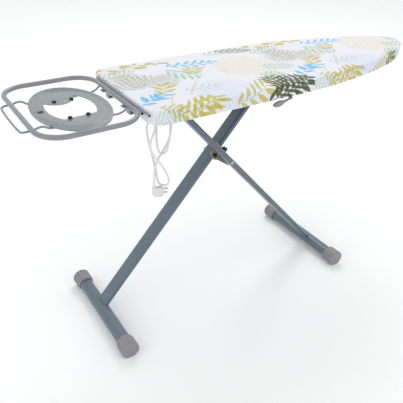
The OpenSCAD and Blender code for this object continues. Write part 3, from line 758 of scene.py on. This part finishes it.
class BOARD_OT_cover(bpy.types.Operator):
    """Makes the printed cotton cover, drawn over the board's edge with its hem under it"""
    bl_idname = "ironing_board.cover"
    bl_label = "Printed Cover"

    def execute(self, context):
        s = sizes()
        r = s.cover_round
        arc = [(r * (1 - math.sin(a)), TOP_Z - r * (1 - math.cos(a)))
               for a in np.linspace(0, math.pi / 2, 8)]
        drop = [(0.0, z) for z in np.linspace(TOP_Z - r, EDGE_Z + 1.5 * MM, 8)[1:]]
        turn = [(0.5 * MM, EDGE_Z + 0.4 * MM), (1.6 * MM, EDGE_Z)]
        hem = [(inset, EDGE_Z) for inset in np.linspace(4 * MM, s.hem_w, 4)]
        loop, out = outline()
        bent = np.linalg.norm(np.roll(out, -3, axis=0) - np.roll(out, 3, axis=0), axis=1)
        curved = (bent / bent.mean()).clip(0, 1.2)
        step = np.linalg.norm(np.roll(loop, -1, axis=0) - loop, axis=1)
        along = np.concatenate([[0], np.cumsum(step)[:-1]])
        waves = max(1, round(along[-1] / s.gather_pitch))
        pitch = (along[-1] + step[-1]) / waves
        phase = 2 * math.pi * along / pitch
        uneven = np.array([noise(Vector((x * 9, y * 9, 0))) for x, y in loop])
        fold = np.sin(phase + 1.6 * uneven) * curved
        full = r * math.pi / 2 + (TOP_Z - r - EDGE_Z)

        def ripple(run):
            low = min(1.0, max(0.0, (run - r) / (full - r)))
            return s.gather_depth * low ** 1.5 * (fold - 0.5) + 0.5 * MM * low * uneven

        piece = board_form("printed_cotton_cover", arc + drop + turn + hem, 10, ripple)
        for vertex in piece.data.vertices:
            if vertex.co.z > TOP_Z - 0.5 * MM:
                x, y = vertex.co.x, vertex.co.y
                vertex.co.z -= 0.35 * MM * abs(noise(Vector((x * 7, y * 12, 3))))
        wall = piece.modifiers.new("cloth thickness", "SOLIDIFY")
        wall.thickness = s.cover_t
        wall.offset = -1
        done(piece, "printed_cotton_cover", "board", "cotton", ("printed_cover",), smooth=60)
        return {"FINISHED"}


class BOARD_OT_pad(bpy.types.Operator):
    """Makes the felt pad between the deck and the cover"""
    bl_idname = "ironing_board.pad"
    bl_label = "Felt Pad"

    def execute(self, context):
        low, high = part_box("felt_pad")
        inset = low.x - END_X
        profile = [(inset + 2 * MM, high.z), (inset + 0.8 * MM, high.z - 0.4 * MM),
                   (inset, high.z - 2 * MM), (inset, low.z + 2 * MM),
                   (inset + 0.8 * MM, low.z + 0.4 * MM), (inset + 2 * MM, low.z)]
        piece = board_form("needled_felt_pad", profile, 6, closed=True)
        done(piece, "needled_felt_pad", "board", "felt", ("felt_pad",), smooth=60)
        return {"FINISHED"}


class BOARD_OT_drawcord(bpy.types.Operator):
    """Makes the cord in the hem, and its toggle under the nose"""
    bl_idname = "ironing_board.drawcord"
    bl_label = "Drawcord and Toggle"

    def execute(self, context):
        low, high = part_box("drawcord")
        inset = low.x - END_X + 1.2 * MM
        height = (low.z + high.z) / 2
        loop, out = outline()
        ring = (loop - out * inset)[::6]
        points = [(x + END_X, y, height) for x, y in ring]
        cord = as_mesh(drawn_curve("hem_drawcord", points, 1.15 * MM, closed=True, sides=3, steps=2))
        done(cord, "hem_drawcord", "board", "braid", ("drawcord",), smooth=60)
        refined("cord_toggle", "drawcord_toggle", 1.2 * MM, 3)
        return {"FINISHED"}


# ---- The lead ----

# Route of the lead, in millimetres from the board's square end, its middle line and the floor
LEAD_ROUTE = (
    (26, -168, 786), (21, -171, 774), (12, -175, 761), (4, -178, 743), (6, -180, 720),
    (17, -181, 699), (31, -181, 678), (45, -180, 653), (55, -180, 631), (60, -179, 610),
    (57, -175, 597), (49, -165, 592), (40, -155, 597), (37, -151, 610), (35, -150, 630),
    (23, -149, 690), (10, -150, 756), (10, -148, 780), (15, -147, 791), (26, -146, 796),
    (36, -145, 791), (41, -144, 777), (36, -154, 744), (35, -160, 722), (37, -165, 707),
    (46, -169, 699), (56, -173, 705), (61, -175, 722), (68, -175, 752), (71, -172, 776),
    (74, -167, 788), (81, -158, 793), (88, -149, 788), (91, -144, 776), (82, -145, 729),
    (63, -150, 702), (42, -156, 683), (27, -161, 659), (20, -165, 630), (18, -166, 598),
)
PLUG_AT = (27, -166, 577)
PLUG_TILT = math.radians(12)


def curve_length(curve):
    """The length of a curve's one spline."""
    knots = curve.data.splines[0].bezier_points
    total = 0.0
    for a, b in zip(knots, knots[1:]):
        line = interpolate_bezier(a.co, a.handle_right, b.handle_left, b.co, 24)
        total += sum((q - p).length for p, q in zip(line, line[1:]))
    return total


class BOARD_OT_lead(bpy.types.Operator):
    """Makes the hanging mains lead with its strain relief, plug and pins"""
    bl_idname = "ironing_board.lead"
    bl_label = "Mains Lead"

    def execute(self, context):
        s = sizes()
        lead = drawn_curve("mains_lead_cord", [on_board(*p) for p in LEAD_ROUTE], s.lead_d / 2, steps=12)
        lead.data.materials.append(FINISHES["white_plastic"])
        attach(lead, "board")
        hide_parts("mains_lead")
        self.make_relief(s.lead_d / 2)
        self.make_plug()
        round(curve_length(lead), 3)
        return {"FINISHED"}

    def make_relief(self, lead_r):
        """A tapered sleeve with five ribs, round the lead under the socket box."""
        low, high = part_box("lead_gland")
        long = high.z - low.z
        narrow, wide, ribs = lead_r + 0.8 * MM, 6.6 * MM, 5
        stations = [(0.0, narrow)]
        for rib in range(ribs):
            start = long * (rib + 0.35) / (ribs + 1)
            mean = narrow + (wide - narrow) * start / long
            tall = long / (ribs + 1)
            stations += [(start, mean), (start + 0.15 * tall, mean + 0.8 * MM),
                         (start + 0.6 * tall, mean + 0.9 * MM), (start + 0.75 * tall, mean + 0.1 * MM)]
        stations += [(long * 0.93, wide), (long, wide)]
        foot = ((low.x + high.x) / 2, (low.y + high.y) / 2, low.z)
        piece = soften(turned("ribbed_strain_relief", foot, (0, 0, 1), stations, 28), 0.2 * MM, 1)
        done(piece, "ribbed_strain_relief", "board", "white_plastic", ("lead_gland",))

    def make_plug(self):
        """A right-angled moulding: a rounded block with a waist, a face plate and a neck for the lead."""
        low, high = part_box("plug_body")
        centre = on_board(*PLUG_AT)
        select_only()
        bpy.ops.mesh.primitive_cube_add(size=1, location=centre, rotation=(0, PLUG_TILT, 0))
        body = bpy.context.object
        body.scale = (33 * MM, 18.5 * MM, 31 * MM)
        bpy.ops.object.mode_set(mode="EDIT")
        bpy.ops.mesh.select_all(action="DESELECT")
        bm = bmesh.from_edit_mesh(body.data)
        for vertex in bm.verts:
            if vertex.co.x < 0 and vertex.co.z < 0:
                vertex.co.x += 0.2
        bmesh.update_edit_mesh(body.data)
        bpy.ops.object.mode_set(mode="OBJECT")
        apply_all(body)
        soften(body, 4.2 * MM, 4, 20)
        apply_all(body)
        turn = Matrix.Rotation(PLUG_TILT, 4, "Y")
        out = turn @ Vector((1, 0, 0))
        select_only()
        bpy.ops.mesh.primitive_cube_add(size=1, location=centre + out * 16.6 * MM, rotation=(0, PLUG_TILT, 0))
        plate = bpy.context.object
        plate.scale = (2.6 * MM, 19.6 * MM, 27 * MM)
        apply_all(plate)
        soften(plate, 1.2 * MM, 3)
        apply_all(plate)
        up = turn @ Vector((0, 0, 1))
        neck_foot = centre - out * 12.5 * MM + up * 11 * MM
        neck = turned("neck", neck_foot, up, [
            (0, 6.2 * MM), (4.5 * MM, 5.4 * MM), (5 * MM, 4.6 * MM), (6.2 * MM, 4.6 * MM),
            (6.6 * MM, 5.2 * MM), (8 * MM, 5 * MM), (8.4 * MM, 4.3 * MM), (9.4 * MM, 4.2 * MM),
            (10.4 * MM, 4.0 * MM)], 24)
        select_only(body, plate, neck)
        bpy.ops.object.join()
        done(body, "plug_moulding", "board", "white_plastic", ("plug_body",), smooth=40)
        refined("plug_pins", "plug_blades", 0.35 * MM, 2)


# ---- Iron rest ----

# The rest's one bent wire, in millimetres from the board's square end, its middle line and the floor
WIRE_ROUTE = (
    (-24, 98, 824), (-40, 96, 815), (-62, 94, 812), (-105, 92, 811), (-190, 92, 811),
    (-232, 93, 811), (-244, 95, 814), (-255, 97, 821), (-268, 98, 822), (-284, 98, 818),
    (-302, 98, 817), (-312, 94, 816), (-315, 84, 815),
)
# Welds on one side: on the loop's outer cross tube, then two under the plate
REST_WELDS = ((-288, 98, 821.2), (-190, 93, 814.8), (-105, 93, 814.8))
# How far inside the loop's end the weld on its inner cross tube lies, in millimetres
INNER_WELD_BACK = 13
# The plate's slot: how far behind the plate's middle it lies, and the insert's size
SLOT_BACK = 84 * MM
SLOT_SIZE = (14.6 * MM, 10.6 * MM, 2.0 * MM)


class BOARD_OT_iron_rest(bpy.types.Operator):
    """Makes the iron rest's bent wire, welds, oval plate with its pressed rings, and studs"""
    bl_idname = "ironing_board.iron_rest"
    bl_label = "Iron Rest"

    def execute(self, context):
        half = [on_board(*p) for p in WIRE_ROUTE]
        other = [Vector((p.x, -p.y, p.z)) for p in reversed(half)]
        wire = as_mesh(drawn_curve("rest_bent_wire", half + other, 3 * MM, steps=8))
        done(wire, "rest_bent_wire", "board", "silver_paint", ("rest_wire",), smooth=60)
        self.make_plate()
        refined("rest_studs", "rubber_studs", 0.9 * MM, 3)
        self.make_welds()
        refined("rest_brackets", "rest_bracket_straps", 0.5 * MM)
        refined("end_bar_bolts", "end_bar_bolt_heads", 0.3 * MM)
        # A black plug on the end bar's near end: painted shade, a dark piece that stands for the shaded
        # hollow under the cover's corner there.
        low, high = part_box("end_bar")
        end = ((low.x + high.x) / 2, low.y - 0.6 * MM, (low.z + high.z) / 2)
        plug = turned("end_bar_shade_plug", end, (0, 1, 0), [
            (0, 2.9 * MM), (0.5 * MM, 3.4 * MM), (0.8 * MM, 3.5 * MM), (1.6 * MM, 3.5 * MM)], 24)
        done(plug, "end_bar_shade_plug", "board", "bumper_plastic")
        return {"FINISHED"}

    def make_plate(self):
        """The pressed plate: its CAD shape with a rolled rim, two pressed rings and the slot's insert."""
        refined("rest_plate", "oval_iron_plate", 0.55 * MM, 3)
        low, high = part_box("rest_plate")
        centre = (low + high) / 2
        half_l, half_w = (high.x - low.x) / 2, (high.y - low.y) / 2
        for number, share in enumerate((0.93, 0.86)):
            points = [(centre.x + half_l * share * math.cos(a), centre.y + half_w * share * math.sin(a),
                       high.z - 0.35 * MM) for a in np.linspace(0, 2 * math.pi, 48, endpoint=False)]
            ring = as_mesh(drawn_curve("pressed_ring", points, 1.3 * MM, closed=True, sides=4, steps=3))
            done(ring, f"pressed_ring_{number + 1}", "board", "plate_paint", smooth=60)
        self.make_slot_insert(centre, high.z)

    def make_slot_insert(self, centre, top):
        """The dark pad in the plate's slot: a block with a raised, inset top."""
        bpy.ops.mesh.primitive_cube_add(
            size=1, location=(centre.x - SLOT_BACK, centre.y + MM, top - 0.4 * MM))
        pad = bpy.context.object
        bpy.ops.transform.resize(value=SLOT_SIZE)
        bpy.ops.object.mode_set(mode="EDIT")
        bpy.ops.mesh.select_all(action="DESELECT")
        bm = bmesh.from_edit_mesh(pad.data)
        for face in bm.faces:
            face.select = face.normal.z > 0.9
        bmesh.update_edit_mesh(pad.data)
        bpy.ops.mesh.inset(thickness=0.9 * MM)
        bpy.ops.mesh.extrude_region_move(TRANSFORM_OT_translate={"value": (0, 0, 0.8 * MM)})
        bpy.ops.object.mode_set(mode="OBJECT")
        soften(pad, 0.3 * MM)
        done(pad, "slot_insert", "board", "bumper_plastic")

    def make_welds(self):
        """Beads where the wire meets the loop and where it carries the plate."""
        loop_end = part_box("rest_loop")[1].x
        inner = ((loop_end - END_X) / MM - INNER_WELD_BACK, 98, 825.5)
        places = [on_board(x, side * y, z) for side in (-1, 1) for x, y, z in (inner, *REST_WELDS)]
        for number, place in enumerate(places):
            bead = weld_bead("weld", place, 4.0 * MM, number)
            done(bead, f"rest_weld_{number + 1}", "board", "silver_paint", smooth=80)


# ---- Legs ----

LEG_SLOPE = math.radians(48)
# The leg tube's section, with the weld on it: half its flat side and the radius of its round edges
TUBE_FLAT, TUBE_ROUND = 18 * MM, 10.6 * MM
# The foot bar's section, with the weld on it
BAR_HALF_W, BAR_HALF_H = 24.2 * MM, 19.4 * MM


class BOARD_OT_legs(bpy.types.Operator):
    """Finishes the legs: foot caps, weld seams and the crossing's plate, rivet, bolt and bumper"""
    bl_idname = "ironing_board.legs"
    bl_label = "Legs and Crossing"

    def execute(self, context):
        for leg in ("rear", "front"):
            refined(f"{leg}_foot_caps", f"{leg}_foot_cap_mouldings", 1.1 * MM, 3)
            self.make_seam(leg)
        refined("crossing_plate", "pressed_crossing_plate", 0.45 * MM)
        refined("crossing_rivet", "domed_crossing_rivet", 0.7 * MM, 3)
        refined("crossing_bolt", "crossing_bolt_head", 0.5 * MM, 3)
        refined("crossing_nut", "crossing_hex_nut", 0.35 * MM)
        refined("leg_bumper", "leg_bumper_stop", 0.9 * MM, 3)
        refined("hinge_bracket", "hinge_bracket_pressing", 0.4 * MM)
        return {"FINISHED"}

    def make_seam(self, leg):
        """A fillet of weld round the tube where it stands on its foot bar."""
        low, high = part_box(f"{leg}_foot_bar")
        tube_low, tube_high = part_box(f"{leg}_leg_tube")
        lean = 1 if leg == "rear" else -1
        centre_y = (tube_low.y + tube_high.y) / 2
        centre_x = (low.x + high.x) / 2
        along = Vector((-lean * math.cos(LEG_SLOPE), 0, math.sin(LEG_SLOPE)))
        over = Vector((lean * math.sin(LEG_SLOPE), 0, math.cos(LEG_SLOPE)))
        foot = Vector((centre_x, centre_y, (low.z + high.z) / 2)) + along * 19.2 * MM
        points = []
        for a in np.linspace(0, 2 * math.pi, 40, endpoint=False):
            across = TUBE_FLAT * (1 if math.cos(a) > 0 else -1) + TUBE_ROUND * math.cos(a)
            points.append(foot + Vector((0, across, 0)) + over * TUBE_ROUND * math.sin(a))
        for point in points:
            width = (point.x - centre_x) / BAR_HALF_W
            bulge = math.sqrt(max(0.0, 1 - width * width))
            point.z = min(point.z, (low.z + high.z) / 2 + BAR_HALF_H * max(bulge, 0.35) + 2 * MM)
        seam = as_mesh(drawn_curve("seam", points, 1.9 * MM, closed=True, sides=3, steps=3))
        done(seam, f"{leg}_foot_weld", f"{leg}_leg", "blue_grey_paint", smooth=80)


# ---- Lever ----

class BOARD_OT_lever(bpy.types.Operator):
    """Makes the lever's dished oval grip and the coil that returns it"""
    bl_idname = "ironing_board.lever"
    bl_label = "Height Lever"

    def execute(self, context):
        low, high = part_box("lever_grip")
        face_y = low.y + 0.4 * MM
        depth = high.y - low.y - 0.8 * MM
        lean = math.radians(-8)
        centre = on_board(434, 0, 785.8)
        centre.y = face_y
        select_only()
        bpy.ops.mesh.primitive_circle_add(
            vertices=48, radius=1, fill_type="NGON", location=centre, rotation=(math.radians(90), 0, 0))
        grip = bpy.context.object
        grip.scale = (20.5 * MM, 8.4 * MM, 1)
        grip.rotation_euler = (math.radians(90), lean, 0)
        bpy.ops.object.transform_apply(location=True, rotation=True, scale=True)
        bpy.ops.object.mode_set(mode="EDIT")
        bpy.ops.mesh.select_all(action="SELECT")
        bpy.ops.mesh.extrude_region_move(TRANSFORM_OT_translate={"value": (0, depth, 0)})
        bpy.ops.mesh.select_all(action="SELECT")
        bpy.ops.mesh.normals_make_consistent(inside=False)
        bpy.ops.object.mode_set(mode="OBJECT")
        self.dish(grip, face_y)
        neck = turned("neck", on_board(450, -204, 788.2), (32, 0, 8), [
            (0, 5.2 * MM), (8 * MM, 4.3 * MM), (20 * MM, 3.6 * MM), (29 * MM, 3.9 * MM), (35 * MM, 4.4 * MM),
            (37 * MM, 3.2 * MM)], 24)
        select_only(grip, neck)
        bpy.ops.object.join()
        done(soften(grip, 0.9 * MM, 3), "lever_spoon_grip", "lever", "grey_plastic", ("lever_grip",))
        low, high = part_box("lever_spring")
        middle = (low + high) / 2
        turns, steps = 7, 16
        points = []
        for k in range(turns * steps + 1):
            a = 2 * math.pi * k / steps
            points.append((middle.x + 5.4 * MM * math.cos(a), low.y + 0.6 * MM + k * 2 * MM / steps,
                           middle.z + 5.4 * MM * math.sin(a)))
        coil = as_mesh(drawn_curve("coil", points, 0.6 * MM, sides=2, steps=2))
        done(coil, "lever_return_coil", "board", "bright_steel", ("lever_spring",), smooth=60)
        return {"FINISHED"}

    def dish(self, grip, face_y):
        """Insets the outer face and presses its middle in."""
        bpy.ops.object.mode_set(mode="EDIT")
        bm = bmesh.from_edit_mesh(grip.data)
        for face in bm.faces:
            face.select = abs(face.calc_center_median().y - face_y) < 0.3 * MM and len(face.verts) > 8
        bmesh.update_edit_mesh(grip.data)
        bpy.ops.mesh.inset(thickness=2.2 * MM, depth=0)
        bpy.ops.mesh.inset(thickness=0.8 * MM, depth=-1.4 * MM)
        bpy.ops.object.mode_set(mode="OBJECT")


# ---- Underside and fixings ----

class BOARD_OT_underside(bpy.types.Operator):
    """Rounds the pressed and moulded parts under the board, and finishes every other CAD part"""
    bl_idname = "ironing_board.underside"
    bl_label = "Deck, Rails and Socket"

    ROUNDED = (
        ("socket_box", "socket_box_moulding", 1.4, 3),
        ("near_rail", "near_slotted_rail", 0.5, 2),
        ("far_rail", "far_slotted_rail", 0.5, 2),
        ("cross_members", "deck_cross_members", 0.4, 2),
        ("height_rack", "notched_height_rack", 0.3, 2),
        ("rail_rivets", "domed_rail_rivets", 0.7, 3),
        ("rest_bracket_bolts", "rest_bracket_hex_bolts", 0.4, 2),
        ("slide_rollers", "flanged_slide_rollers", 0.4, 2),
        ("slide_axle", "chamfered_slide_axle", 0.6, 2),
        ("hinge_pin", "chamfered_hinge_pin", 0.6, 2),
        ("lever_shaft", "chamfered_lever_shaft", 0.5, 2),
        ("locking_pawl", "pressed_locking_pawl", 0.3, 2),
        ("socket_screws", "slotted_socket_screws", 0.25, 2),
    )

    def execute(self, context):
        for node, name, width, segments in self.ROUNDED:
            refined(node, name, width * MM, segments)
        for node, piece in NODES.items():
            if not piece.hide_render:
                piece.data.materials.clear()
                piece.data.materials.append(FINISHES[SLOT_OF[node]])
        return {"FINISHED"}


# ---- Stage ----

CAMERA_AT = (-1.0211, -1.3281, 1.3737)
CAMERA_YAW, CAMERA_PITCH, CAMERA_ROLL = 0.5844, 0.5646, 0.0279
CAMERA_LENS = 46.15


class BOARD_OT_stage(bpy.types.Operator):
    """Sets the camera, the soft studio lights and the pale floor"""
    bl_idname = "ironing_board.stage"
    bl_label = "Camera, Light and Floor"

    def execute(self, context):
        scene = context.scene
        data = bpy.data.cameras.new("studio camera")
        data.sensor_width = 36
        data.lens = CAMERA_LENS
        data.clip_end = 60
        camera = bpy.data.objects.new("studio camera", data)
        scene.collection.objects.link(camera)
        yaw, pitch, roll = CAMERA_YAW, CAMERA_PITCH, CAMERA_ROLL
        ahead = Vector((math.cos(pitch) * math.sin(yaw), math.cos(pitch) * math.cos(yaw), -math.sin(pitch)))
        level = Vector((math.cos(yaw), -math.sin(yaw), 0))
        above = level.cross(ahead)
        right = math.cos(roll) * level + math.sin(roll) * above
        up = -math.sin(roll) * level + math.cos(roll) * above
        axes = Matrix((right, up, -ahead)).transposed().to_4x4()
        camera.matrix_world = Matrix.Translation(CAMERA_AT) @ axes
        scene.camera = camera
        scene.view_settings.view_transform = "Standard"
        self.add_lights(scene)
        self.add_floor()
        return {"FINISHED"}

    def add_lights(self, scene):
        world = bpy.data.worlds.new("studio air")
        world.use_nodes = True
        sky = world.node_tree.nodes["Background"]
        sky.inputs["Color"].default_value = (0.99, 0.995, 1.0, 1)
        sky.inputs["Strength"].default_value = 0.93
        scene.world = world
        for name, place, size, power in (
                ("key softbox", (1.8, 2.2, 4.0), 1.8, 42),
                ("left softbox", (-2.8, -0.6, 1.6), 1.8, 6),
                ("front fill", (0.2, -3.2, 0.9), 2.2, 6)):
            lamp = bpy.data.lights.new(name, "AREA")
            lamp.shape = "SQUARE"
            lamp.size = size
            lamp.energy = power
            light = bpy.data.objects.new(name, lamp)
            light.location = place
            aim = Vector((0, 0, 0.5)) - Vector(place)
            light.rotation_euler = aim.to_track_quat("-Z", "Y").to_euler()
            scene.collection.objects.link(light)

    def add_floor(self):
        """A seamless sweep: a floor whose far edges rise in a broad curve."""
        select_only()
        bpy.ops.mesh.primitive_plane_add(size=24, location=(0, 0, 0))
        floor = bpy.context.object
        floor.name = "studio_sweep"
        bpy.ops.object.mode_set(mode="EDIT")
        bpy.ops.mesh.select_all(action="DESELECT")
        bm = bmesh.from_edit_mesh(floor.data)
        for edge in bm.edges:
            edge.select = all(v.co.y > 0 for v in edge.verts) or all(v.co.x > 0 for v in edge.verts)
        bmesh.update_edit_mesh(floor.data)
        bpy.ops.mesh.extrude_edges_move(TRANSFORM_OT_translate={"value": (0, 0, 8)})
        bpy.ops.object.mode_set(mode="OBJECT")
        soften(floor, 2.5, 12, 30)
        apply_all(floor)
        bpy.ops.object.shade_smooth()
        base = linear("#FCFCFC")
        made, tree, shader = surface("matt paper sweep", base, 0.8)
        weather(tree, shader, base, 900, 0.004, 3, 0.01)
        floor.data.materials.append(made)


# ---- Panel and registration ----

STEPS = ("stage", "lead", "cover", "pad", "drawcord", "iron_rest", "legs", "lever", "underside")


class BOARD_PT_panel(bpy.types.Panel):
    """Lists the board's sizes, colours and steps"""
    bl_idname = "BOARD_PT_panel"
    bl_label = "Ironing Board"
    bl_space_type = "VIEW_3D"
    bl_region_type = "UI"
    bl_category = "Ironing Board"

    def draw(self, context):
        for group_name in ("board_sizes", "board_colours"):
            held = getattr(context.scene, group_name)
            box = self.layout.box()
            for key in held.__annotations__:
                box.prop(held, key)
        for step in STEPS:
            self.layout.operator(f"ironing_board.{step}")


CLASSES = (
    BoardSizes, BoardColours, BOARD_OT_stage, BOARD_OT_lead, BOARD_OT_cover, BOARD_OT_pad,
    BOARD_OT_drawcord, BOARD_OT_iron_rest, BOARD_OT_legs, BOARD_OT_lever, BOARD_OT_underside,
    BOARD_PT_panel,
)


def register():
    for cls in CLASSES:
        bpy.utils.register_class(cls)
    bpy.types.Scene.board_sizes = PointerProperty(type=BoardSizes)
    bpy.types.Scene.board_colours = PointerProperty(type=BoardColours)


def unregister():
    del bpy.types.Scene.board_colours
    del bpy.types.Scene.board_sizes
    for cls in reversed(CLASSES):
        bpy.utils.unregister_class(cls)


def main():
    """Makes every piece in order."""
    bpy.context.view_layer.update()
    register()
    FINISHES.update(build_finishes())
    for step in STEPS:
        getattr(bpy.ops.ironing_board, step)()


if __name__ == "__main__":
    main()
